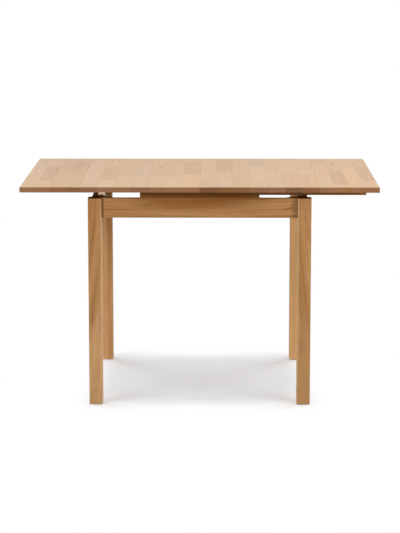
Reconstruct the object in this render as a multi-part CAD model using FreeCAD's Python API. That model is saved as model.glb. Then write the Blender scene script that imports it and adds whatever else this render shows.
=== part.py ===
import FreeCAD
import Part
import math
import os

# Extending dining table. A square top stands on a frame of four posts. A loose leaf at each end lies
# level with the top on two bearers that pull out between the end rail and the top.
# Millimetres, origin on the floor under the middle of the top, X along the extension, front towards -Y.

# Top and leaves
table_height = 750.0
top_length = 800.0
top_depth = 800.0
top_thickness = 18.0
leaf_length = 200.0
seam_gap = 0.4
edge_chamfer = 1.0

# Legs and their glides
leg_side = 45.0
leg_clear = 659.0
leg_chamfer = 1.5
glide_side = 28.0
glide_thickness = 2.0
glide_chamfer = 0.8

# Aprons and rails
bearer_space = 23.5
rail_height = 66.5
rail_thickness = 18.0
rail_setback = 11.5
rail_chamfer = 1.0
crown_length = 400.0
crown_fillet = 3.0
tenon_length = 10.0
tenon_thickness = 8.0
tenon_shoulder = 8.0
glue_gap = 0.2
centre_rail_thickness = 20.0
centre_rail_height = 55.0
centre_tenon_length = 10.0

# Corner blocks, hanger bolts and flange nuts
block_thickness = 24.0
block_height = 51.0
block_drop = 1.5
block_leg_gap = 1.2
bolt_diameter = 8.0
bolt_in_leg = 28.0
bolt_past_nut = 4.0
nut_across_flats = 13.0
nut_height = 8.0
flange_diameter = 18.0
flange_thickness = 1.5
pin_clearance = 0.3

# Screws that hold the top down on the aprons
screw_diameter = 5.0
screw_head_diameter = 10.0
screw_head_height = 3.0
screw_grip = 40.0
screw_bite = 12.0
screw_spacing = 240.0

# Dowels between the leaves and the top
dowel_diameter = 8.0
dowel_in_top = 25.0
dowel_in_leaf = 25.0
dowel_spacing = 500.0
dowel_chamfer = 1.0
hole_end_gap = 1.0

# Pull-out bearers, their ties, guides and stops
bearer_width = 28.0
bearer_far = 270.0
bearer_near = 190.0
bearer_setback = 36.0
bearer_chamfer = 1.0
run_gap = 0.4
tie_width = 40.0
tie_height = 18.0
heel_drop = 12.0
heel_housing = 4.0
tie_end_margin = 10.0
stop_gap = 0.3
slide_travel = 180.0
guide_gap = 0.4
guide_thickness = 22.0
inner_guide_width = 30.0
guide_height = 75.0
stop_length = 20.0
stop_height = 20.0

# Levels and planes that follow from the sizes above
underside = table_height - top_thickness
frame_top = underside - bearer_space
rail_bottom = frame_top - rail_height
leg_inner = leg_clear / 2
leg_outer = leg_inner + leg_side
rail_outer = leg_outer - rail_setback
rail_inner = rail_outer - rail_thickness
rail_middle = (rail_outer + rail_inner) / 2
seam_x = top_length / 2
leaf_inner = seam_x + seam_gap
leaf_outer = seam_x + leaf_length
tie_outer = -centre_rail_thickness / 2 - stop_gap
tie_inner = tie_outer - tie_width
bearer_inner = tie_inner - tie_end_margin
bearer_outer = leaf_outer - bearer_setback

origin = FreeCAD.Vector(0, 0, 0)
axis_x = FreeCAD.Vector(1, 0, 0)
axis_z = FreeCAD.Vector(0, 0, 1)


def block(low, high):
    size = [b - a for a, b in zip(low, high)]
    return Part.makeBox(size[0], size[1], size[2], FreeCAD.Vector(*low))


def rod(diameter, length, start, direction):
    return Part.makeCylinder(diameter / 2, length, FreeCAD.Vector(*start), direction)


def turned(shape, degrees):
    copy = shape.copy()
    copy.rotate(origin, axis_z, degrees)
    return copy


def edges_where(shape, test):
    chosen = []
    for edge in shape.Edges:
        box = edge.BoundBox
        if test(box):
            chosen.append(edge)
    return chosen


def is_level(box, z):
    return abs(box.ZMin - z) < 1e-4 and abs(box.ZMax - z) < 1e-4


def save(name, shape):
    shape.exportStep(f"parts/{name}.step")


# A board of the top's depth and thickness with all its arrises eased
def board(x_low, x_high):
    shape = block((x_low, -top_depth / 2, underside), (x_high, top_depth / 2, table_height))
    return shape.makeChamfer(edge_chamfer, shape.Edges)


def dowel_places():
    return [("front", -dowel_spacing / 2), ("back", dowel_spacing / 2)]


def screw_places():
    return [("left", -screw_spacing / 2), ("right", screw_spacing / 2)]


def make_top():
    shape = board(-seam_x, seam_x)
    hole = dowel_diameter + 2 * pin_clearance
    depth = dowel_in_top + hole_end_gap
    level = underside + top_thickness / 2
    for side, y in dowel_places():
        socket = rod(hole, depth, (seam_x - depth, y, level), axis_x)
        shape = shape.cut(socket)
        shape = shape.cut(turned(socket, 180))
    pilot = screw_diameter + 2 * pin_clearance
    for side, x in screw_places():
        for y in (-rail_middle, rail_middle):
            shape = shape.cut(rod(pilot, screw_bite + hole_end_gap, (x, y, underside), axis_z))
    return shape


def make_leaf():
    shape = board(leaf_inner, leaf_outer)
    level = underside + top_thickness / 2
    for side, y in dowel_places():
        hole = rod(dowel_diameter + 2 * pin_clearance, dowel_in_leaf, (leaf_inner, y, level), axis_x)
        shape = shape.cut(hole)
    return shape


def make_dowel(y):
    length = dowel_in_top + seam_gap + dowel_in_leaf
    level = underside + top_thickness / 2
    shape = rod(dowel_diameter, length, (seam_x - dowel_in_top, y, level), axis_x)
    free_rim = edges_where(shape, lambda box: box.XMax < seam_x - dowel_in_top + 1e-4)
    return shape.makeChamfer(dowel_chamfer, free_rim)


# The front right leg, with one mortise for the apron and one for the end rail
def make_leg():
    shape = block((leg_inner, -leg_outer, glide_thickness), (leg_outer, -leg_inner, frame_top))
    uprights = edges_where(shape, lambda box: box.ZLength > 1)
    shape = shape.makeChamfer(leg_chamfer, uprights)
    foot = edges_where(shape, lambda box: is_level(box, glide_thickness))
    shape = shape.makeChamfer(leg_chamfer, foot)
    half = tenon_thickness / 2 + glue_gap
    depth = tenon_length + glue_gap
    bottom = rail_bottom + tenon_shoulder - glue_gap
    top = frame_top - tenon_shoulder + glue_gap
    apron_mortise = block(
        (leg_inner, -rail_middle - half, bottom),
        (leg_inner + depth, -rail_middle + half, top),
    )
    rail_mortise = block(
        (rail_middle - half, -leg_inner - depth, bottom),
        (rail_middle + half, -leg_inner, top),
    )
    bolt_hole = corner_rod(bolt_diameter + 2 * pin_clearance, 0, bolt_in_leg + hole_end_gap)
    for cutter in (apron_mortise, rail_mortise, bolt_hole):
        shape = shape.cut(cutter)
    return shape


# A square pad stuck under the front right leg
def make_glide():
    middle = (leg_inner + leg_outer) / 2
    half = glide_side / 2
    shape = block((middle - half, -middle - half, 0), (middle + half, -middle + half, glide_thickness))
    lower = edges_where(shape, lambda box: is_level(box, 0))
    return shape.makeChamfer(glide_chamfer, lower)


# The front apron. Its middle stands up to the top, its ends stop level with the legs.
def make_apron():
    crown = crown_length / 2
    outline = [
        (-leg_inner, rail_bottom),
        (leg_inner, rail_bottom),
        (leg_inner, frame_top),
        (crown, frame_top),
        (crown, underside),
        (-crown, underside),
        (-crown, frame_top),
        (-leg_inner, frame_top),
    ]
    points = [FreeCAD.Vector(x, -rail_outer, z) for x, z in outline]
    face = Part.Face(Part.makePolygon(points + points[:1]))
    shape = face.extrude(FreeCAD.Vector(0, rail_thickness, 0))
    corners = edges_where(
        shape,
        lambda box: box.YLength > 1 and is_level(box, frame_top) and abs(abs(box.XMin) - crown) < 1e-4,
    )
    shape = shape.makeFillet(crown_fillet, corners)
    lower = edges_where(shape, lambda box: box.XLength > 1 and is_level(box, rail_bottom))
    shape = shape.makeChamfer(rail_chamfer, lower)
    half = tenon_thickness / 2
    low = rail_bottom + tenon_shoulder
    high = frame_top - tenon_shoulder
    for x_low in (-leg_inner - tenon_length, leg_inner):
        tenon = block(
            (x_low, -rail_middle - half, low),
            (x_low + tenon_length, -rail_middle + half, high),
        )
        shape = shape.fuse(tenon)
    wide = half + glue_gap
    centre_low = frame_top - centre_rail_height + tenon_shoulder
    centre_mortise = block(
        (-wide, -rail_inner - centre_tenon_length - glue_gap, centre_low - glue_gap),
        (wide, -rail_inner, high + glue_gap),
    )
    shape = shape.cut(centre_mortise)
    seat = underside - screw_grip
    for side, x in screw_places():
        mouth = (x, -rail_middle, rail_bottom)
        counterbore = rod(screw_head_diameter + 2 * pin_clearance, seat - rail_bottom, mouth, axis_z)
        hole = rod(screw_diameter + 2 * pin_clearance, screw_grip, (x, -rail_middle, seat), axis_z)
        shape = shape.cut(counterbore)
        shape = shape.cut(hole)
    return shape.removeSplitter()


def make_top_screw(x, y):
    seat = underside - screw_grip
    head = rod(screw_head_diameter, screw_head_height, (x, y, seat - screw_head_height), axis_z)
    shank = rod(screw_diameter, screw_grip + screw_bite, (x, y, seat), axis_z)
    return head.fuse(shank)


# The right end rail. Its top face carries the bearers.
def make_end_rail():
    shape = block((rail_inner, -leg_inner, rail_bottom), (rail_outer, leg_inner, frame_top))
    long_edges = edges_where(shape, lambda box: box.YLength > 1)
    shape = shape.makeChamfer(rail_chamfer, long_edges)
    half = tenon_thickness / 2
    low = rail_bottom + tenon_shoulder
    high = frame_top - tenon_shoulder
    for y_low in (-leg_inner - tenon_length, leg_inner):
        tenon = block(
            (rail_middle - half, y_low, low),
            (rail_middle + half, y_low + tenon_length, high),
        )
        shape = shape.fuse(tenon)
    return shape.removeSplitter()


def make_centre_rail():
    half = centre_rail_thickness / 2
    bottom = frame_top - centre_rail_height
    shape = block((-half, -rail_inner, bottom), (half, rail_inner, frame_top))
    long_edges = edges_where(shape, lambda box: box.YLength > 1)
    shape = shape.makeChamfer(rail_chamfer, long_edges)
    thin = tenon_thickness / 2
    for y_low in (-rail_inner - centre_tenon_length, rail_inner):
        tenon = block(
            (-thin, y_low, bottom + tenon_shoulder),
            (thin, y_low + centre_tenon_length, frame_top - tenon_shoulder),
        )
        shape = shape.fuse(tenon)
    return shape.removeSplitter()


# Distances along the diagonal are measured from the leg's inner corner, positive into the leg
def corner_rod(diameter, start, length):
    step = math.sqrt(0.5)
    level = frame_top - block_drop - block_height / 2
    place = (leg_inner + start * step, -leg_inner - start * step, level)
    return rod(diameter, length, place, FreeCAD.Vector(step, -step, 0))


# A diagonal block between the inner faces of apron and end rail, behind the leg's inner corner
def make_corner_block():
    reach_outer = 2 * leg_inner - block_leg_gap * math.sqrt(2)
    reach_inner = reach_outer - block_thickness * math.sqrt(2)
    bottom = frame_top - block_drop - block_height
    outline = [
        (reach_inner - rail_inner, -rail_inner),
        (reach_outer - rail_inner, -rail_inner),
        (rail_inner, rail_inner - reach_outer),
        (rail_inner, rail_inner - reach_inner),
    ]
    points = [FreeCAD.Vector(x, y, bottom) for x, y in outline]
    face = Part.Face(Part.makePolygon(points + points[:1]))
    shape = face.extrude(FreeCAD.Vector(0, 0, block_height))
    through = block_thickness + 2 * block_leg_gap
    hole = corner_rod(bolt_diameter + 2 * pin_clearance, -through, through)
    return shape.cut(hole)


def make_hanger_bolt():
    inside = block_leg_gap + block_thickness + nut_height + bolt_past_nut
    return corner_rod(bolt_diameter, -inside, inside + bolt_in_leg)


def make_flange_nut():
    seat = block_leg_gap + block_thickness
    radius = nut_across_flats / math.sqrt(3)
    corners = []
    for index in range(6):
        angle = math.radians(60 * index)
        corners.append(FreeCAD.Vector(radius * math.cos(angle), radius * math.sin(angle), 0))
    face = Part.Face(Part.makePolygon(corners + corners[:1]))
    shape = face.extrude(FreeCAD.Vector(0, 0, nut_height))
    shape = shape.fuse(Part.makeCylinder(flange_diameter / 2, flange_thickness))
    shape = shape.cut(Part.makeCylinder(bolt_diameter / 2 + pin_clearance, nut_height))
    step = math.sqrt(0.5)
    level = frame_top - block_drop - block_height / 2
    shape.rotate(origin, FreeCAD.Vector(0, 1, 0), -90)
    shape.rotate(origin, axis_z, -45)
    shape.translate(FreeCAD.Vector(leg_inner - seat * step, -leg_inner + seat * step, level))
    return shape


# A right-hand bearer on the line y. Its underside is housed over the heel.
def make_bearer(y):
    half = bearer_width / 2
    shape = block((bearer_inner, y - half, frame_top), (bearer_outer, y + half, underside - run_gap))
    shape = shape.makeChamfer(bearer_chamfer, shape.Edges)
    housing = block(
        (tie_inner - glue_gap, y - half, frame_top),
        (tie_outer + glue_gap, y + half, frame_top + heel_housing),
    )
    return shape.cut(housing)


# The right-hand tie is a straight bar that joins its two bearers below the paths of the other pair
def make_tie():
    half = bearer_width / 2
    low = (tie_inner, -bearer_far - half, frame_top - heel_drop - tie_height)
    high = (tie_outer, bearer_near + half, frame_top - heel_drop)
    shape = block(low, high)
    long_edges = edges_where(shape, lambda box: box.YLength > 1)
    return shape.makeChamfer(bearer_chamfer, long_edges)


# A heel between the tie and the right-hand bearer on the line y, let into the bearer
def make_heel(y):
    half = bearer_width / 2
    low = (tie_inner, y - half, frame_top - heel_drop)
    high = (tie_outer, y + half, frame_top + heel_housing)
    return block(low, high)


# A block on the right end rail that guides the bearers between y_low and y_high
def make_guide_block(y_low, y_high):
    low = (rail_inner - guide_thickness, y_low, underside - guide_height)
    shape = block(low, (rail_inner, y_high, underside))
    inner = edges_where(shape, lambda box: box.ZLength > 1 and box.XMax < rail_inner - 1e-4)
    return shape.makeChamfer(bearer_chamfer, inner)


# The block under the top that the right near bearer meets when it is pushed in
def make_stop_block():
    half = bearer_width / 2
    x_high = bearer_inner - slide_travel - stop_gap
    low = (x_high - stop_length, bearer_near - half, underside - stop_height)
    high = (x_high, bearer_near + half, underside)
    shape = block(low, high)
    lower = edges_where(shape, lambda box: is_level(box, underside - stop_height))
    return shape.makeChamfer(bearer_chamfer, lower)


os.makedirs("parts", exist_ok=True)

save("table_top", make_top())
save("centre_rail", make_centre_rail())

# Pieces at the four corners
corner_angles = {"front_right": 0, "back_right": 90, "back_left": 180, "front_left": 270}
corner_pieces = {
    "leg": make_leg(),
    "glide": make_glide(),
    "corner_block": make_corner_block(),
    "hanger_bolt": make_hanger_bolt(),
    "flange_nut": make_flange_nut(),
}
for piece, shape in corner_pieces.items():
    for corner, angle in corner_angles.items():
        save(f"{piece}_{corner}", turned(shape, angle))

# Aprons with the screws that hold the top
apron = make_apron()
save("apron_front", apron)
save("apron_back", turned(apron, 180))
for side, x in screw_places():
    save(f"top_screw_front_{side}", make_top_screw(x, -rail_middle))
    save(f"top_screw_back_{side}", make_top_screw(x, rail_middle))

# Both ends of the table are the same half, turned half a turn about the middle
opposite = {"front": "back", "back": "front"}
bearer_lines = {"front": -bearer_far, "back": bearer_near}


def save_both_ends(piece, shape, side=None):
    right_name = f"{piece}_right"
    left_name = f"{piece}_left"
    if side:
        right_name = f"{right_name}_{side}"
        left_name = f"{left_name}_{opposite[side]}"
    save(right_name, shape)
    save(left_name, turned(shape, 180))


save_both_ends("end_rail", make_end_rail())
save_both_ends("leaf", make_leaf())
save_both_ends("tie", make_tie())
save_both_ends("stop_block", make_stop_block())
for side, y in dowel_places():
    save_both_ends("leaf_dowel", make_dowel(y), side)
for side, y in bearer_lines.items():
    save_both_ends("bearer", make_bearer(y), side)
    save_both_ends("heel", make_heel(y), side)

# Two guides at each end fill the space between a far and a near line. A third, on the inner side of the
# near bearer, keeps the tied pair from shifting sideways.
guide_clear = bearer_width / 2 + guide_gap
lane_low = bearer_near + guide_clear
lane_high = bearer_far - guide_clear
inner_high = bearer_near - guide_clear
save_both_ends("guide_block", make_guide_block(-lane_high, -lane_low), "front")
save_both_ends("guide_block", make_guide_block(lane_low, lane_high), "back")
save_both_ends("inner_guide", make_guide_block(inner_high - inner_guide_width, inner_high))
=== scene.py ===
import math

import bmesh
import bpy
from mathutils import Matrix, Vector


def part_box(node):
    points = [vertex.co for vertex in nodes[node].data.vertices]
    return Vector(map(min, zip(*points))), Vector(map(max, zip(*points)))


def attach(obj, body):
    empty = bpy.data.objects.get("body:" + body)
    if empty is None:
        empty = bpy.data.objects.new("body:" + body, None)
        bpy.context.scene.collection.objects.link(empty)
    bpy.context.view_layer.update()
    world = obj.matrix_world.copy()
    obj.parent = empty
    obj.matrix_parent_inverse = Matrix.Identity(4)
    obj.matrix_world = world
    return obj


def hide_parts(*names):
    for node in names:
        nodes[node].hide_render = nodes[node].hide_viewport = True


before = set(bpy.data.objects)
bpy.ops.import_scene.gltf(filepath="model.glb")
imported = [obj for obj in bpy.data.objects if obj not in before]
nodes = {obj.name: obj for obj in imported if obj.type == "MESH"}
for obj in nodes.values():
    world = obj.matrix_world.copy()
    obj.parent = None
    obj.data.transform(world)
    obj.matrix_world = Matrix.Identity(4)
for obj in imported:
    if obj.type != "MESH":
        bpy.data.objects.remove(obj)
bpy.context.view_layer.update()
scene = bpy.context.scene

sides = ("right", "left")
ends = ("front", "back")
bearerPlaces = [side + "_" + end for side in sides for end in ends]
corners = ("front_right", "back_right", "back_left", "front_left")


def paint(*screen):
    # screen colour, 0 to 255, as the linear colour that a socket takes
    return (*[((c / 255 + 0.055) / 1.055) ** 2.4 for c in screen], 1.0)


class Wire:
    # one socket of a node tree, so that shader sums read as sums
    def __init__(self, tree, socket=None):
        self.tree = tree
        self.socket = socket

    def node(self, kind, settings=None, values=None, out=0):
        made = self.tree.nodes.new(kind)
        for name, value in (settings or {}).items():
            setattr(made, name, value)
        for name, value in (values or {}).items():
            if isinstance(value, Wire):
                self.tree.links.new(value.socket, made.inputs[name])
            else:
                made.inputs[name].default_value = value
        if len(made.outputs):
            return Wire(self.tree, made.outputs[out])

    def out(self, name):
        return Wire(self.tree, self.socket.node.outputs[name])

    def math(self, operation, *terms):
        return self.node("ShaderNodeMath", {"operation": operation}, dict(enumerate(terms)))

    def __add__(self, other):
        return self.math("ADD", self, other)

    def __radd__(self, other):
        return self.math("ADD", other, self)

    def __sub__(self, other):
        return self.math("SUBTRACT", self, other)

    def __rsub__(self, other):
        return self.math("SUBTRACT", other, self)

    def __mul__(self, other):
        return self.math("MULTIPLY", self, other)

    def __rmul__(self, other):
        return self.math("MULTIPLY", other, self)

    def __truediv__(self, other):
        return self.math("DIVIDE", self, other)

    def __abs__(self):
        return self.math("ABSOLUTE", self)

    def floor(self):
        return self.math("FLOOR", self)

    def root(self):
        return self.math("SQRT", self)

    def over(self, other):
        return self.math("MAXIMUM", self, other)

    def step(self, low, high):
        # 0 below low, 1 above high, smooth between
        limits = {"Value": self, "From Min": low, "From Max": high}
        return self.node("ShaderNodeMapRange", {"interpolation_type": "SMOOTHSTEP"}, limits)

    def mix(self, first, second, blend="MIX"):
        # this value is the share of the second colour
        kind = {"data_type": "RGBA", "blend_type": blend, "clamp_factor": True}
        return self.node("ShaderNodeMix", kind, {0: self, 6: first, 7: second}, 2)

    def parts(self):
        apart = self.node("ShaderNodeSeparateXYZ", None, {0: self})
        return [apart.out(axis) for axis in "XYZ"]

    def noise(self, x, y, z, look):
        at = self.node("ShaderNodeCombineXYZ", None, {0: x, 1: y, 2: z})
        values = {"Vector": at, "Scale": 1.0, "Detail": look["detail"], "Roughness": look["rough"]}
        return self.node("ShaderNodeTexNoise", {"noise_dimensions": "3D"}, values)

    def noiseAt(self, look, place, seed=0.0):
        # noise through the whole piece, with a size in mm for each axis
        x, y, z = [part / size for part, size in zip(place, look["size"])]
        return self.noise(x, y, z + seed, look)

    def ringNoise(self, look, along, radius, seed):
        # noise that changes along the grain and from ring to ring
        alongSize, ringSize = look["size"]
        return self.noise(along / alongSize, radius / ringSize, seed + look["shift"], look)

    def bump(self, look, height):
        values = {"Strength": look["bump"], "Distance": look["bumpHeight"], "Height": height}
        return self.node("ShaderNodeBump", None, values)

    def surface(self, values):
        shader = self.node("ShaderNodeBsdfPrincipled", None, values)
        self.node("ShaderNodeOutputMaterial", None, {"Surface": shader})


def newMaterial(name):
    made = bpy.data.materials.new(name)
    made.use_nodes = True
    made.node_tree.nodes.clear()
    return made, Wire(made.node_tree)


# the turn that brings a piece's grain on to the pattern's X axis
grainTurn = {
    "x": (0.0, 0.0, 0.0),
    "y": (0.0, 0.0, math.radians(-90)),
    "z": (0.0, math.radians(90), 0.0),
    "rising": (0.0, 0.0, math.radians(-45)),
    "falling": (0.0, 0.0, math.radians(45)),
}
mmPerMetre = 1000.0


def grainSpace(wire, along, centre=(0, 0, 0)):
    # place in mm with the grain along the first axis, and how square to each axis the face is
    turn = grainTurn[along]
    coords = wire.node("ShaderNodeTexCoord")
    values = {
        "Vector": coords.out("Object"),
        "Rotation": turn,
        "Scale": (mmPerMetre,) * 3,
        "Location": [-c for c in centre],
    }
    place = wire.node("ShaderNodeMapping", None, values)
    values = {"Vector": coords.out("Normal"), "Rotation": turn}
    facing = wire.node("ShaderNodeMapping", {"vector_type": "NORMAL"}, values)
    return place.parts(), [abs(part) for part in facing.parts()]


oak = {
    "pale": paint(189, 145, 98),
    "deep": paint(142, 95, 52),
    "rust": paint(136, 76, 36),
    "sap": paint(204, 161, 114),
    "heartAndShade": paint(204, 184, 156),     # what painted shade leaves of the colour, and on the front apron redder heartwood too
    # the colour of pores, glue lines and cracks, and of the painted shade at the front apron's shoulders
    "poreAndShade": paint(80, 47, 24),
    "grey": paint(172, 147, 122),      # staves with less colour in them
    "endGrain": paint(166, 138, 110),  # what end grain leaves of the colour
    "wearAndHighlight": paint(206, 166, 122),      # worn edges, and painted highlights on the front legs' inner faces and on the boards' edges
    "ringWidth": 3.1,                  # mm from one year's ring to the next
    "earlyEnds": (0.05, 0.55),         # where in a ring its porous early wood gives way to late wood
    "earlyStarts": (0.9, 1.0),         # and where the next ring's early wood starts
    # noises, with their sizes in mm: along the grain, then across it or from ring to ring
    "sway": {"size": (420.0, 140.0, 140.0), "detail": 1.0, "rough": 0.5},
    "ripple": {"size": (55.0, 18.0, 18.0), "detail": 2.0, "rough": 0.5},
    "rippleWidth": 3.0,                # mm
    "streak": {"size": (330.0, 7.0), "shift": 3.0, "detail": 3.0, "rough": 0.55},
    "band": {"size": (900.0, 24.0), "shift": 9.0, "detail": 1.0, "rough": 0.5},
    "fibre": {"size": (24.0, 0.8, 0.8), "detail": 2.0, "rough": 0.6},
    "stain": {"size": (120.0, 4.0), "shift": 17.0, "detail": 2.0, "rough": 0.5},
    "dash": {"size": (5.0, 0.42, 0.42), "detail": 1.0, "rough": 0.5},
    # how far each of them darkens the wood
    "streakTone": 1.7,
    "bandTone": 0.9,
    "fibreTone": 0.5,
    "earlyTone": 0.16,
    "stainFrom": (0.6, 0.78),          # noise at which the rust colour starts and is full
    "stainShare": 0.6,
    "poreFrom": (0.56, 0.66),
    "poreShare": 0.55,
    "seamShare": 0.45,                 # darkness of the glue line between staves
    "endFace": (0.45, 0.7),            # how square to the grain a face is before it shows end grain
    "arris": (0.94, 0.995),            # how square to an axis a face is before it is no arris
    "poreRough": 0.18,
    "fibreRough": 0.16,
    "endRough": 0.35,
    "fibreHeight": 0.5,                # against the depth of a pore
    "bump": 0.35,
    "bumpHeight": 0.00025,             # m
    "ior": 1.45,
}

# the staves of a glued board, and how they differ
stave = {
    "length": 370.0,                   # mm
    "toneRange": 0.38,                 # from the palest to the darkest
    "endRange": 1.5,                   # more of that on end grain
    "stagger": 9.0,                    # lengths by which a row may be moved along
    "pithSpread": 320.0,               # mm from side to side over which their piths lie
    "pithDeep": 20.0,                  # mm, the nearest pith
    "pithDeeper": 60.0,                # mm, how much further the others are
    "slide": 900.0,                    # mm of log that the cuts come from
    "seeds": 40.0,                     # how far apart their noises are
    "greyFrom": 0.4,                   # draw from which a stave is greyer
    "greyShare": 0.5,
    "sideSeam": (0.05, 0.35),          # mm from the glue line, where it starts to fade and where it ends
    "endSeam": (0.05, 0.4),
}


def patch(at, long, tall, share, colour, core=0.1, fray=1.0, slope=0.0, blend="MIX"):
    # a patch of darker, redder or paler colour, for the wood's own marks and for painted shade and light:
    # middle, half length and half height in mm, and strength
    return {"at": at, "long": long, "tall": tall, "share": share, "colour": colour, "core": core,
            "fray": fray, "slope": slope, "blend": blend}


def addPatch(colour, mark, u, d, streak):
    fromU = u - mark["at"][0]
    fromD = d - mark["at"][1] - fromU * mark["slope"]
    fromU = fromU / mark["long"]
    fromD = fromD / mark["tall"]
    away = (fromU * fromU + fromD * fromD).root() + (streak - 0.5) * mark["fray"]
    share = (1 - away.step(mark["core"], 1.0)) * mark["share"]
    return share.mix(colour, mark["colour"], mark["blend"])


def makeOak(name, along, centre=(0, 0, 0), pith=(30, -60), staveWidth=None, shade=0.0, seed=0.0,
            figure=1.0, wander=26.0, lean=0.0, gloss=0.025, rough=0.55, wearAndHighlight=0.4, paintedEdgeLight=0.0, marks=(),
            pale=oak["pale"], deepest=oak["deep"], endGrain=oak["endGrain"]):
    # centre, pith and marks are in the pattern's own axes, in mm; pith is where the rings are centred
    made, wire = newMaterial(name)
    (u, v, d), (nu, nv, nd) = grainSpace(wire, along, centre)
    endFace = nu.step(*oak["endFace"])
    alongBoard = u
    tone = shade
    seam = 0.0
    if staveWidth:
        row = v / staveWidth
        rowNo = row.floor()
        fromMiddle = row - rowNo - 0.5
        luck = wire.node("ShaderNodeTexWhiteNoise", {"noise_dimensions": "1D"}, {"W": rowNo + seed})
        run = u / stave["length"] + luck * stave["stagger"]
        runNo = run.floor()
        cell = wire.node("ShaderNodeCombineXYZ", None, {0: rowNo + seed, 1: runNo, 2: 0.5})
        picks = wire.node("ShaderNodeTexWhiteNoise", {"noise_dimensions": "3D"}, {"Vector": cell}, "Color")
        pickA, pickB, pickC = picks.parts()
        tone = tone + (pickA - 0.5) * (endFace * stave["endRange"] + stave["toneRange"])
        sideGap = (0.5 - abs(fromMiddle)) * staveWidth
        endGap = (0.5 - abs(run - runNo - 0.5)) * stave["length"]
        seam = (1 - sideGap.step(*stave["sideSeam"])).over(1 - endGap.step(*stave["endSeam"]))
        v = fromMiddle * staveWidth
        across = v - (pickB - 0.5) * stave["pithSpread"]
        deep = d + stave["pithDeep"] + pickC * stave["pithDeeper"]
        u = u + pickC * stave["slide"]
        woodSeed = pickB * stave["seeds"]
    else:
        across = v - pith[0]
        deep = d - pith[1] + u * lean
        woodSeed = seed
    # year rings round the pith, bent a little along the length
    sway = (wire.noiseAt(oak["sway"], (u, v, d), woodSeed) - 0.5) * wander
    ripple = (wire.noiseAt(oak["ripple"], (u, v, d), woodSeed) - 0.5) * oak["rippleWidth"]
    radius = (across * across + deep * deep).root() + sway + ripple
    ring = radius / oak["ringWidth"]
    inRing = ring - ring.floor()
    early = (1 - inRing.step(*oak["earlyEnds"])).over(inRing.step(*oak["earlyStarts"]))
    streak = wire.ringNoise(oak["streak"], u, radius, woodSeed)
    band = wire.ringNoise(oak["band"], u, radius, woodSeed)
    fibre = wire.noiseAt(oak["fibre"], (u, v, d)) - 0.5
    stain = wire.ringNoise(oak["stain"], u, radius, woodSeed).step(*oak["stainFrom"])
    pores = wire.noiseAt(oak["dash"], (u, v, d)).step(*oak["poreFrom"]) * early
    grain = (streak - 0.5) * oak["streakTone"] + (band - 0.5) * oak["bandTone"]
    tone = tone + 0.5 + grain * figure + fibre * oak["fibreTone"] + (early - 0.5) * oak["earlyTone"]
    colour = tone.mix(pale, deepest)
    colour = (stain * (oak["stainShare"] * figure)).mix(colour, oak["rust"])
    for mark in marks:
        colour = addPatch(colour, mark, alongBoard, d, streak)
    colour = (pores * oak["poreShare"]).mix(colour, oak["poreAndShade"])
    if staveWidth:
        colour = ((pickC - stave["greyFrom"]) * stave["greyShare"]).mix(colour, oak["grey"])
        colour = (seam * oak["seamShare"]).mix(colour, oak["poreAndShade"])
    arris = 1 - nu.over(nv).over(nd).step(*oak["arris"])
    colour = endFace.mix(colour, endFace.mix(colour, endGrain, "MULTIPLY"))
    # arrises take the pale colour, as wear and as a painted highlight, and the boards' side arrises take
    # more as painted light
    colour = (arris * (wearAndHighlight + (1 - endFace) * paintedEdgeLight)).mix(colour, oak["wearAndHighlight"])
    roughness = rough + pores * oak["poreRough"] + fibre * oak["fibreRough"] + endFace * oak["endRough"]
    wire.surface({
        "Base Color": colour,
        "Roughness": roughness,
        "Normal": wire.bump(oak, fibre * oak["fibreHeight"] - pores - seam),
        "IOR": oak["ior"],
        "Specular IOR Level": gloss,
    })
    return made


beech = {
    "pale": paint(234, 214, 184),
    "deep": paint(216, 191, 156),
    "fleck": paint(180, 146, 110),
    "streaks": {"size": (160.0, 6.0, 6.0), "detail": 3.0, "rough": 0.55},
    "fibres": {"size": (18.0, 0.7, 0.7), "detail": 2.0, "rough": 0.6},
    "flecks": {"size": (2.6, 0.5, 0.5), "detail": 0.0, "rough": 0.5},
    "streakTone": 2.0,
    "fibreTone": 0.6,
    "fleckFrom": (0.64, 0.7),
    "fleckShare": 0.5,
    "endFace": (0.6, 0.9),
    "endShare": 0.5,
    "rough": 0.5,
    "fibreRough": 0.2,
    "fleckDeep": 0.4,
    "bump": 0.3,
    "bumpHeight": 0.0002,              # m
    "gloss": 0.12,
}


def makeBeech(name, along, seed=0.0):
    made, wire = newMaterial(name)
    place, facing = grainSpace(wire, along)
    streak = wire.noiseAt(beech["streaks"], place, seed) - 0.5
    fibre = wire.noiseAt(beech["fibres"], place)
    fleck = wire.noiseAt(beech["flecks"], place, seed).step(*beech["fleckFrom"])
    tone = streak * beech["streakTone"] + (fibre - 0.5) * beech["fibreTone"] + 0.5
    colour = tone.mix(beech["pale"], beech["deep"])
    colour = (fleck * beech["fleckShare"]).mix(colour, beech["fleck"])
    endFace = facing[0].step(*beech["endFace"])
    wire.surface({
        "Base Color": (endFace * beech["endShare"]).mix(colour, beech["deep"]),
        "Roughness": beech["rough"] + (fibre - 0.5) * beech["fibreRough"],
        "Normal": wire.bump(beech, fibre - fleck * beech["fleckDeep"]),
        "Specular IOR Level": beech["gloss"],
    })
    return made


zinc = {
    "bright": paint(198, 188, 168),
    "dull": paint(164, 154, 136),
    "clouds": {"size": (3.5, 3.5, 3.5), "detail": 3.0, "rough": 0.6},
    "grit": {"size": (0.25, 0.25, 0.25), "detail": 1.0, "rough": 0.5},
    "cloudTone": 2.5,
    "rough": 0.34,
    "cloudRough": 0.3,
    "bump": 0.12,
    "bumpHeight": 0.0001,              # m
}


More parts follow.
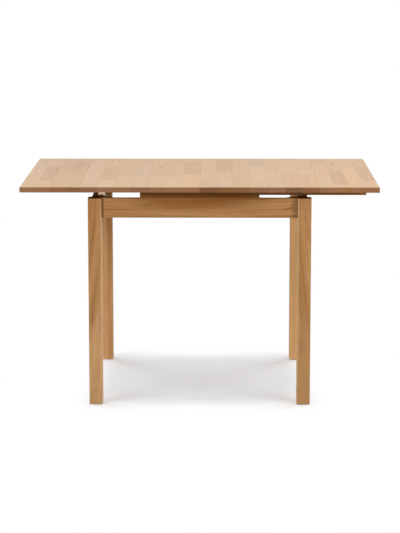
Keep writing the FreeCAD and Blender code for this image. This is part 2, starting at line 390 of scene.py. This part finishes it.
def makeZinc(name):
    made, wire = newMaterial(name)
    place = grainSpace(wire, "x")[0]
    cloud = wire.noiseAt(zinc["clouds"], place) - 0.5
    wire.surface({
        "Base Color": (cloud * zinc["cloudTone"] + 0.5).mix(zinc["bright"], zinc["dull"]),
        "Roughness": zinc["rough"] + cloud * zinc["cloudRough"],
        "Normal": wire.bump(zinc, wire.noiseAt(zinc["grit"], place)),
        "Metallic": 1.0,
    })
    return made


nylon = {
    "body": paint(70, 58, 48),
    "scuffed": paint(98, 85, 72),
    "grain": {"size": (0.5, 0.5, 0.5), "detail": 2.0, "rough": 0.5},
    "scuffs": {"size": (7.0, 1.2, 7.0), "detail": 3.0, "rough": 0.6},
    "scuffFrom": (0.52, 0.7),
    "scuffShare": 0.7,
    "rough": 0.5,
    "scuffRough": 0.2,
    "bump": 0.2,
    "bumpHeight": 0.0001,              # m
}


def makeNylon(name):
    made, wire = newMaterial(name)
    place = grainSpace(wire, "x")[0]
    scuff = wire.noiseAt(nylon["scuffs"], place).step(*nylon["scuffFrom"])
    wire.surface({
        "Base Color": (scuff * nylon["scuffShare"]).mix(nylon["body"], nylon["scuffed"]),
        "Roughness": nylon["rough"] + scuff * nylon["scuffRough"],
        "Normal": wire.bump(nylon, wire.noiseAt(nylon["grain"], place)),
    })
    return made


def dress(material, *names):
    for name in names:
        nodes[name].data.materials.clear()
        nodes[name].data.materials.append(material)


def named(stem, tails):
    return [stem + "_" + tail for tail in tails]


# the top and the leaves are glued from staves, and each is its own cut
# the boards' arrises, end grain apart, take more of the pale colour: painted light that keeps the seams
# between top and leaves from reading dark
board = {
    "figure": 0.24, "wander": 10.0, "gloss": 0.36, "rough": 0.4, "wearAndHighlight": 0.08, "paintedEdgeLight": 0.8,
    "pale": paint(190, 151, 104), "deepest": paint(143, 101, 58), "endGrain": paint(188, 172, 169),
}
boardCuts = {
    "table_top": {
        "name": "oakTop", "centre": (0, 0, 741), "staveWidth": 57.143,
        "seed": 17596.0, "shade": -0.1,
    },
    "leaf_right": {
        "name": "oakLeafRight", "centre": (0, -400.4, 741), "staveWidth": 49.9,
        "seed": 1829.0, "shade": -0.1,
    },
    "leaf_left": {
        "name": "oakLeafLeft", "centre": (0, 400.4, 741), "staveWidth": 49.9,
        "seed": 2014.0, "shade": -0.02,
        # its far half is darker: painted shade
        "marks": [patch((330, 0), 420, 400, 0.22, oak["heartAndShade"], core=0.3, fray=0.4, blend="MULTIPLY")],
    },
}
for node, cut in boardCuts.items():
    dress(makeOak(along="y", **cut, **board), node)

# each leg is cut from its own place in the log; the front ones carry a pale line on the inner face, a
# painted highlight
# the legs' end grain is darker and redder than other end grain: partly end grain, partly painted shade on
# the leg tops under the table top
leg = {"figure": 0.7, "gloss": 0.04, "rough": 0.46, "endGrain": paint(166, 118, 70)}
legCuts = {
    "leg_front_left": {
        "centre": (0, -352, 352), "pith": (64, 12), "seed": 3.0, "shade": 0.12,
        "wander": 12.0, "lean": 0.12,
        "marks": [
            # paler towards the bottom: partly paler wood, partly painted light
            patch((60, 0), 360, 120, 0.65, oak["sap"], core=0.2),
            patch((297, 9), 42, 4, 0.6, oak["rust"]),
            # pale line along the inner face: painted highlight
            patch((200, -22.5), 900, 4, 0.85, oak["wearAndHighlight"], core=0.5, fray=0.6),
        ],
    },
    "leg_front_right": {
        "centre": (0, -352, -352), "pith": (22, -70), "seed": 8.0, "shade": 0.1,
        "wander": 12.0, "lean": -0.1,
        "marks": [
            # paler towards the bottom: painted light, making up for the right-hand lamp lighting the leg's
            # lower part less
            patch((40, 0), 420, 120, 0.5, oak["pale"], core=0.2),
            patch((200, 8), 48, 9, 0.4, oak["deep"]),
            # pale line along the inner face: painted highlight
            patch((320, 22.5), 900, 4, 0.85, oak["wearAndHighlight"], core=0.5, fray=0.6),
        ],
    },
    "leg_back_left": {
        "centre": (0, 352, 352), "pith": (-90, 30), "seed": 15.0, "shade": 0.04,
        "marks": [patch((200, 10), 900, 18, 0.42, oak["sap"], core=0.5, fray=0.6)],
    },
    # much paler than the other legs: partly paler wood, partly painted light standing in for light that
    # reaches it under the top
    "leg_back_right": {"centre": (0, 352, -352), "pith": (-40, -80), "seed": 21.0, "shade": -0.5},
}
for name, cut in legCuts.items():
    dress(makeOak("oak_" + name, "z", **cut, **leg), name)

# the front apron is darker and redder along its upper edge under the top, partly heartwood and partly
# painted shade; it has a small crack at one end, and painted shade at its shoulders beside the legs
apronMarksAndShade = [
    # darker and redder under the top: partly heartwood, partly painted shade
    patch((0, 52), 340, 66, 1.0, oak["heartAndShade"], core=0.5, blend="MULTIPLY"),
    patch((-80, -2), 64, 2.2, 0.5, oak["rust"], fray=0.5),
    patch((-252, -5), 48, 2, 0.45, oak["deep"], slope=0.05),
    patch((298, -1), 26, 3, 0.8, oak["poreAndShade"], slope=0.2),
    patch((312, 11), 14, 2, 0.6, oak["poreAndShade"], slope=0.05),
    # painted shade cast by the legs on the apron beside them
    patch((-330, 0), 8, 400, 0.5, oak["poreAndShade"], core=0.5, fray=0.4),
    patch((330, 0), 14, 400, 0.25, oak["poreAndShade"], core=0.4, fray=0.4),
]
# the end rails darken towards their upper edge, under the top: painted shade
railPaintedShade = [patch((0, 52), 600, 66, 0.9, oak["heartAndShade"], core=0.5, blend="MULTIPLY")]
apronFront = makeOak("oakApronFront", "x", (0, -354, 675), pith=(40, -320), seed=5.0, wander=14.0,
                     marks=apronMarksAndShade)
dress(apronFront, "apron_front")
dress(makeOak("oakApronBack", "x", (0, 353, 675), pith=(-110, -20), seed=11.0), "apron_back")
endRails = makeOak("oakEndRails", "y", (0, 0, 675), pith=(90, 20), seed=19.0, marks=railPaintedShade)
dress(endRails, *named("end_rail", sides))
dress(makeOak("oakCentreRail", "y", (0, 0, 690), pith=(80, 40), seed=27.0), "centre_rail")
for turn, cornerPair in {"rising": corners[::2], "falling": corners[1::2]}.items():
    blocks = makeOak("oakBlocks_" + turn, turn, (0, 0, 680), pith=(20, 60), seed=33.0)
    dress(blocks, *named("corner_block", cornerPair))
bearers = makeOak("oakBearers", "x", (0, 0, 720), pith=(60, -50), seed=44.0, shade=0.15)
dress(bearers, *named("bearer", bearerPlaces))
dress(makeOak("oakTies", "y", (0, 0, 690), pith=(50, 60), seed=52.0), *named("tie", sides))
dress(makeOak("oakHeels", "x", (0, 0, 705), pith=(40, 40), seed=58.0), *named("heel", bearerPlaces))
guideNodes = named("guide_block", bearerPlaces) + named("inner_guide", sides)
dress(makeBeech("beechGuides", "z"), *guideNodes)
dress(makeBeech("beechStops", "y", seed=4.0), *named("stop_block", sides))
beechDowels = makeBeech("beechDowels", "x", seed=9.0)
dress(beechDowels, *named("leaf_dowel", bearerPlaces))
zincSteel = makeZinc("zincSteel")
for stem in ("hanger_bolt", "flange_nut", "top_screw"):
    dress(zincSteel, *named(stem, corners))
dress(makeNylon("nylonGlides"), *named("glide", corners))
print("finishes on", sum(bool(n.data.materials) for n in nodes.values()), "nodes")

pieces = []


def finishPiece(bm, name, body, material):
    mesh = bpy.data.meshes.new(name)
    bmesh.ops.recalc_face_normals(bm, faces=bm.faces)
    bm.to_mesh(mesh)
    bm.free()
    mesh.materials.append(material)
    piece = bpy.data.objects.new(name, mesh)
    scene.collection.objects.link(piece)
    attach(piece, body)
    pieces.append(piece)
    return piece


def boxOf(node):
    # lowest corner, highest corner and middle of a node
    low, high = [Vector(c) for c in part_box(node)]
    return low, high, (low + high) / 2


def loopOf(verts):
    # the edges that join these vertices to each other
    chosen = set(verts)
    return [e for e in {e for v in chosen for e in v.link_edges} if set(e.verts) <= chosen]


def pullLoop(bm, edges, radiusShare, drop):
    # draw a round rim down its Z axis and give it a new radius
    made = bmesh.ops.extrude_edge_only(bm, edges=edges)["geom"]
    verts = [v for v in made if isinstance(v, bmesh.types.BMVert)]
    bmesh.ops.scale(bm, vec=(radiusShare, radiusShare, 1.0), verts=verts)
    bmesh.ops.translate(bm, vec=(0.0, 0.0, -drop), verts=verts)
    return loopOf(verts)


screw = {
    "head": 0.0038,        # m, radius of the countersunk head
    "segments": 24,
    "cone": 0.0026,        # m, depth of the head
    "shankShare": 0.5,     # shank's radius against the head's
    "shank": 0.014,        # m
    "pointFrom": 0.7,      # share of the shank that runs straight
    "pointShare": 0.15,    # radius of the point's end against the shank's
    "proud": 0.00015,      # m that the head stands off the wood
    "cross": 0.0019,       # m, half the span of the cross recess
    "crossDeep": 0.0014,   # m
    "crossTaper": 0.6,     # floor of the recess against its mouth
    "turn": 0.9,           # radians from one screw's cross to the next one's
}


def makeScrew():
    # a cross-head wood screw whose head faces +Z
    bm = bmesh.new()
    bmesh.ops.create_grid(bm, x_segments=3, y_segments=3, size=screw["cross"])
    outer = [f for f in bm.faces if min(abs(c) for c in f.calc_center_median().xy) > screw["cross"] / 3]
    bmesh.ops.delete(bm, geom=outer, context="FACES")
    cross = list(bm.faces)
    crossRim = [e for e in bm.edges if e.is_boundary]
    rim = loopOf(bmesh.ops.create_circle(bm, segments=screw["segments"], radius=screw["head"])["verts"])
    bmesh.ops.triangle_fill(bm, edges=crossRim + rim, use_beauty=True, normal=(0.0, 0.0, 1.0))
    sunk = bmesh.ops.extrude_face_region(bm, geom=cross)["geom"]
    sunk = [v for v in sunk if isinstance(v, bmesh.types.BMVert)]
    bmesh.ops.translate(bm, vec=(0.0, 0.0, -screw["crossDeep"]), verts=sunk)
    bmesh.ops.scale(bm, vec=(screw["crossTaper"], screw["crossTaper"], 1.0), verts=sunk)
    rim = pullLoop(bm, rim, screw["shankShare"], screw["cone"])
    rim = pullLoop(bm, rim, 1.0, screw["shank"] * screw["pointFrom"])
    rim = pullLoop(bm, rim, screw["pointShare"], screw["shank"] * (1 - screw["pointFrom"]))
    bmesh.ops.edgeloop_fill(bm, edges=rim)
    mesh = bpy.data.meshes.new("screw")
    bm.to_mesh(mesh)
    bm.free()
    return mesh


screwShape = makeScrew()

# where the screws stand, in m from the middle of what they hold unless it says otherwise
screwPlaces = {
    "guideStep": 0.008,
    "guideRise": 0.012,
    "guideDrop": 0.016,    # below the middle
    "guideOuter": 0.027,   # below the top, in the outer side of a wide block
    "cornerStep": 0.034,
    "cornerRise": 0.013,
    "tieStep": 0.010,
    "stopStep": 0.007,
}


def fixScrews(name, body, places):
    # each place is a point on the wood and the way that the head faces
    bm = bmesh.new()
    for index, (point, facing) in enumerate(places):
        have = len(bm.verts)
        bm.from_mesh(screwShape)
        bm.verts.ensure_lookup_table()
        facing = Vector(facing).normalized()
        shift = Matrix.Translation(Vector(point) + facing * screw["proud"])
        aim = facing.to_track_quat("Z", "Y").to_matrix().to_4x4()
        turn = Matrix.Rotation(index * screw["turn"], 4, "Z")
        bmesh.ops.transform(bm, matrix=shift @ aim @ turn, verts=bm.verts[have:])
    finishPiece(bm, name, body, zincSteel)


def guideScrews(node):
    # two into the end rail, and on the wide blocks one through the outer side
    low, high, middle = boxOf(node)
    inward = -1.0 if middle.x > 0 else 1.0
    faceX = low.x if inward < 0 else high.x
    level = middle.z - screwPlaces["guideDrop"]
    places = []
    for way in (-1, 1):
        point = (faceX, middle.y + way * screwPlaces["guideStep"], level + way * screwPlaces["guideRise"])
        places.append((point, (inward, 0, 0)))
    if node.startswith("guide_block"):
        outward = 1.0 if middle.y > 0 else -1.0
        faceY = high.y if outward > 0 else low.y
        places.append(((middle.x, faceY, high.z - screwPlaces["guideOuter"]), (0, outward, 0)))
    return places


def cornerScrews(node):
    # four in the inner face of a corner block, which lies at 45 degrees between its two ends
    low, high, middle = boxOf(node)
    inward = Vector((-math.copysign(1, middle.x), -math.copysign(1, middle.y), 0)).normalized()
    along = Vector((-inward.y, inward.x, 0))
    reach = (min(abs(low.x), abs(high.x)) + max(abs(low.y), abs(high.y))) / 2
    face = Vector((math.copysign(reach, middle.x), math.copysign(reach, middle.y), middle.z))
    places = []
    for step in (-screwPlaces["cornerStep"], screwPlaces["cornerStep"]):
        for rise in (-screwPlaces["cornerRise"], screwPlaces["cornerRise"]):
            places.append((face + along * step + Vector((0, 0, rise)), inward))
    return places


def tieScrews(side):
    # two up through the tie into each heel
    level = boxOf("tie_" + side)[0].z
    places = []
    for end in ends:
        middle = boxOf("heel_" + side + "_" + end)[2]
        for step in (-screwPlaces["tieStep"], screwPlaces["tieStep"]):
            places.append(((middle.x + step, middle.y, level), (0, 0, -1)))
    return places


def stopScrews(node):
    # two up through the stop block into the top
    low, middle = boxOf(node)[::2]
    steps = (-screwPlaces["stopStep"], screwPlaces["stopStep"])
    return [((middle.x, middle.y + step, low.z), (0, 0, -1)) for step in steps]


fixScrews("guide_screws", "frame", [p for n in guideNodes for p in guideScrews(n)])
fixScrews("corner_screws", "frame", [p for n in named("corner_block", corners) for p in cornerScrews(n)])
fixScrews("stop_screws", "frame", [p for n in named("stop_block", sides) for p in stopScrews(n)])
for side in sides:
    fixScrews("tie_screws_" + side, side + "_bearers", tieScrews(side))

dowel = {
    "flutes": 16,
    "fluteShare": 0.93,    # radius in a flute against the full one
    "tipShare": 0.72,      # radius of the chamfered end
    "chamfer": 0.0014,     # m
}


def buildDowel(node, body):
    # a fluted dowel along X, drawn down Z and then turned on to its place
    low, high, middle = boxOf(node)
    radius = (high.z - low.z) / 2
    length = high.x - low.x
    bm = bmesh.new()
    ring = bmesh.ops.create_circle(bm, segments=2 * dowel["flutes"], radius=radius)["verts"]
    bmesh.ops.scale(bm, vec=(dowel["fluteShare"],) * 2 + (1.0,), verts=ring[::2])
    first = loopOf(ring)
    tip = pullLoop(bm, first, dowel["tipShare"], -dowel["chamfer"])
    bmesh.ops.edgeloop_fill(bm, edges=tip)
    last = pullLoop(bm, first, 1.0, length - 2 * dowel["chamfer"])
    tip = pullLoop(bm, last, dowel["tipShare"], dowel["chamfer"])
    bmesh.ops.edgeloop_fill(bm, edges=tip)
    shift = Matrix.Translation((high.x - dowel["chamfer"], middle.y, middle.z))
    bmesh.ops.transform(bm, matrix=shift @ Matrix.Rotation(math.radians(90), 4, "Y"), verts=bm.verts)
    piece = finishPiece(bm, "fluted_" + node, body, beechDowels)
    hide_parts(node)


for side in sides:
    for end in ends:
        buildDowel("leaf_dowel_" + side + "_" + end, side + "_leaf")

bolt = {
    "pitch": 0.00125,      # m
    "threadDeep": 0.0007,  # m
    "stepsRound": 16,
    "spareTurns": 2,       # cut off again at the ends
    "weld": 0.0000125,     # m, points nearer than this become one
}


def buildBolt(corner):
    # a threaded rod: one pitch of thread wound up the axis, cut square at both ends
    node = "hanger_bolt_" + corner
    low, high, middle = boxOf(node)
    radius = (high.z - low.z) / 2
    length = (high.x - low.x) * math.sqrt(2) - 2 * radius
    pitch = bolt["pitch"]
    turns = math.ceil(length / pitch) + bolt["spareTurns"]
    root = radius - bolt["threadDeep"]
    bm = bmesh.new()
    points = [(root, 0, 0), (radius, 0, pitch / 2), (root, 0, pitch)]
    verts = [bm.verts.new(p) for p in points]
    edges = [bm.edges.new(pair) for pair in zip(verts, verts[1:])]
    bmesh.ops.spin(bm, geom=verts + edges, axis=(0, 0, 1), angle=math.tau * turns,
                   steps=bolt["stepsRound"] * turns, dvec=(0, 0, pitch / bolt["stepsRound"]))
    bmesh.ops.remove_doubles(bm, verts=bm.verts, dist=bolt["weld"])
    for level, up in ((pitch, -1), (pitch + length, 1)):
        geom = list(bm.verts) + list(bm.edges) + list(bm.faces)
        cut = bmesh.ops.bisect_plane(bm, geom=geom, plane_co=(0, 0, level), plane_no=(0, 0, up),
                                     clear_outer=True)
        rim = [e for e in cut["geom_cut"] if isinstance(e, bmesh.types.BMEdge)]
        bmesh.ops.edgeloop_fill(bm, edges=rim)
    bmesh.ops.translate(bm, vec=(0, 0, -pitch - length / 2), verts=bm.verts)
    axis = Vector((math.copysign(1, middle.x), math.copysign(1, middle.y), 0))
    turn = axis.to_track_quat("Z", "Y").to_matrix().to_4x4()
    bmesh.ops.transform(bm, matrix=Matrix.Translation(middle) @ turn, verts=bm.verts)
    piece = finishPiece(bm, "threaded_" + node, "frame", zincSteel)
    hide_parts(node)


for corner in corners:
    buildBolt(corner)
print("fasteners made:", len(pieces), "pieces")

stage = {
    "floorSize": 60.0,        # m
    "seenLight": 0.27,        # share of the floor's white that takes no shadow
    "seenFloor": 0.60,        # what the light adds to it
    "shadowX": (0.31, 0.43),  # m from the middle, where the shadow starts to fade and where it ends
    "shadowY": (0.30, 0.56),
    "shadowBack": 0.02,       # m that its middle lies behind the table's
    "bounce": paint(104, 101, 97),
    "ambient": 0.2,
    "white": (1.0, 1.0, 1.0, 1.0),
}


def seenRays(wire):
    # 1 for the camera's own rays and for those that gloss or glass sends on
    path = wire.node("ShaderNodeLightPath")
    return path.out("Is Camera Ray").over(path.out("Is Glossy Ray")).over(path.out("Is Transmission Ray"))


def buildFloor():
    bm = bmesh.new()
    bmesh.ops.create_grid(bm, x_segments=1, y_segments=1, size=stage["floorSize"])
    mesh = bpy.data.meshes.new("floor")
    bm.to_mesh(mesh)
    bm.free()
    floor = bpy.data.objects.new("floor", mesh)
    scene.collection.objects.link(floor)
    made, wire = newMaterial("studioFloor")
    # white all over, with the table's shadow kept near the table
    shade = wire.node("ShaderNodeBsdfDiffuse", None, {"Color": (stage["seenFloor"],) * 3 + (1.0,)})
    glow = wire.node("ShaderNodeEmission", None, {"Color": stage["white"], "Strength": stage["seenLight"]})
    under = wire.node("ShaderNodeAddShader", None, {0: shade, 1: glow})
    plain = wire.node("ShaderNodeEmission", None, {"Color": stage["white"], "Strength": 1.0})
    x, y = wire.node("ShaderNodeTexCoord").out("Object").parts()[:2]
    away = abs(x).step(*stage["shadowX"]).over(abs(y - stage["shadowBack"]).step(*stage["shadowY"]))
    white = wire.node("ShaderNodeMixShader", None, {0: away, 1: under, 2: plain})
    # the table itself gets a duller floor's light, and from below the floor is clear
    bounce = wire.node("ShaderNodeBsdfDiffuse", None, {"Color": stage["bounce"]})
    upper = wire.node("ShaderNodeMixShader", None, {0: seenRays(wire), 1: bounce, 2: white})
    clear = wire.node("ShaderNodeBsdfTransparent")
    below = wire.node("ShaderNodeNewGeometry", None, None, "Backfacing")
    both = wire.node("ShaderNodeMixShader", None, {0: below, 1: upper, 2: clear})
    wire.node("ShaderNodeOutputMaterial", None, {"Surface": both})
    mesh.materials.append(made)
    return floor


def buildWorld():
    world = bpy.data.worlds.new("studio")
    world.use_nodes = True
    world.node_tree.nodes.clear()
    wire = Wire(world.node_tree)
    light = wire.node("ShaderNodeBackground", None, {"Color": stage["white"], "Strength": stage["ambient"]})
    white = wire.node("ShaderNodeBackground", None, {"Color": stage["white"], "Strength": 1.0})
    both = wire.node("ShaderNodeMixShader", None, {0: seenRays(wire), 1: light, 2: white})
    wire.node("ShaderNodeOutputWorld", None, {"Surface": both})
    scene.world = world


# a lamp with a place is a soft box aimed at the table
# one with a rise is a wide light far away, whose rise, place round the table and width are in degrees
lamps = {
    "boxLeft": {"at": (-1.75, -2.15, 1.75), "size": (0.22, 0.8), "power": 41.0, "lights": "table"},
    "boxRight": {"at": (2.1, -1.3, 1.4), "size": (0.5, 0.8), "power": 42.0, "lights": "table"},
    "front": {"rise": 6.0, "round": 0.0, "angle": 8.0, "power": 0.58, "lights": "table"},
    "inner": {"rise": 2.2, "round": 0.0, "angle": 9.0, "power": 2.3, "lights": "inside"},
    "backLeft": {"at": (-2.2, 2.5, 1.2), "size": (1.0, 1.0), "power": 45.0, "lights": "table"},
    "backRight": {"at": (2.2, 2.5, 1.2), "size": (1.0, 1.0), "power": 45.0, "lights": "table"},
    "overhead": {"rise": 84.0, "round": 0.0, "angle": 45.0, "power": 1.9, "lights": "table"},
    "behind": {"rise": 30.0, "round": 180.0, "angle": 90.0, "power": 0.3, "lights": "table"},
    "below": {"rise": -90.0, "round": 0.0, "angle": 30.0, "power": 0.45, "lights": "table"},
    "floorLight": {"rise": 88.0, "round": 0.0, "angle": 18.0, "power": 1.45, "lights": "stage"},
}
# four more from the corners, low enough to reach in under the table, where its legs throw shadows
cornerLamp = {"rise": 26.0, "angle": 36.0, "power": 1.2, "lights": "stage"}
cornerTurns = {"FrontLeft": -45.0, "FrontRight": 45.0, "BackLeft": -135.0, "BackRight": 135.0}
for corner, turn in cornerTurns.items():
    lamps["floor" + corner] = {"round": turn, **cornerLamp}
mirrored = ("overhead", "behind")  # lamps that gloss shows
boxAim = Vector((0.0, 0.0, 0.6))   # what the soft boxes face, m
# what the inner lamp leaves out
outside = ["table_top", "leaf_left", "leaf_right", "apron_front", "leg_front_left", "leg_front_right",
           "corner_block_front_left", "corner_block_front_right", *named("bearer", bearerPlaces)]


def collect(name, things):
    made = bpy.data.collections.new(name)
    for thing in things:
        made.objects.link(thing)
    return made


def buildLamps(floor):
    table = list(nodes.values()) + pieces
    lit = {
        "table": collect("table", table),
        "inside": collect("inside", [t for t in table if t.name not in outside]),
        "stage": collect("stage", [floor]),
    }
    # the floor's shadow is the frame's own: the leaves are left out of it
    shadow = collect("shadow", [t for t in table if "leaf" not in t.name])
    for name, values in lamps.items():
        lamp = bpy.data.lights.new(name, "AREA" if "at" in values else "SUN")
        lamp.energy = values["power"]
        made = bpy.data.objects.new(name, lamp)
        if "at" in values:
            lamp.shape = "ELLIPSE"
            lamp.size, lamp.size_y = values["size"]
            made.location = values["at"]
            towards = Vector(values["at"]) - boxAim
        else:
            lamp.angle = math.radians(values["angle"])
            rise = math.radians(values["rise"])
            turn = math.radians(values["round"])
            level = math.cos(rise)
            towards = Vector((math.sin(turn) * level, -math.cos(turn) * level, math.sin(rise)))
        made.rotation_euler = towards.to_track_quat("Z", "Y").to_euler()
        scene.collection.objects.link(made)
        made.light_linking.receiver_collection = lit[values["lights"]]
        made.light_linking.blocker_collection = shadow if values["lights"] == "stage" else lit["table"]
        made.visible_glossy = name in mirrored


camera = {
    "at": (0.05432, -7.05059, 1.64559),
    "down": 9.917,            # degrees below level
    "left": 0.455,            # degrees
    "lens": 136.18,           # mm
    "sensor": 36.0,           # mm
}


def buildCamera():
    data = bpy.data.cameras.new("camera")
    data.lens = camera["lens"]
    data.sensor_width = camera["sensor"]
    made = bpy.data.objects.new("camera", data)
    made.location = camera["at"]
    made.rotation_euler = (math.radians(90 - camera["down"]), 0.0, math.radians(camera["left"]))
    scene.collection.objects.link(made)
    scene.camera = made


floor = buildFloor()
buildWorld()
buildLamps(floor)
buildCamera()
scene.view_settings.view_transform = "Standard"
print("stage, lamps and camera set")
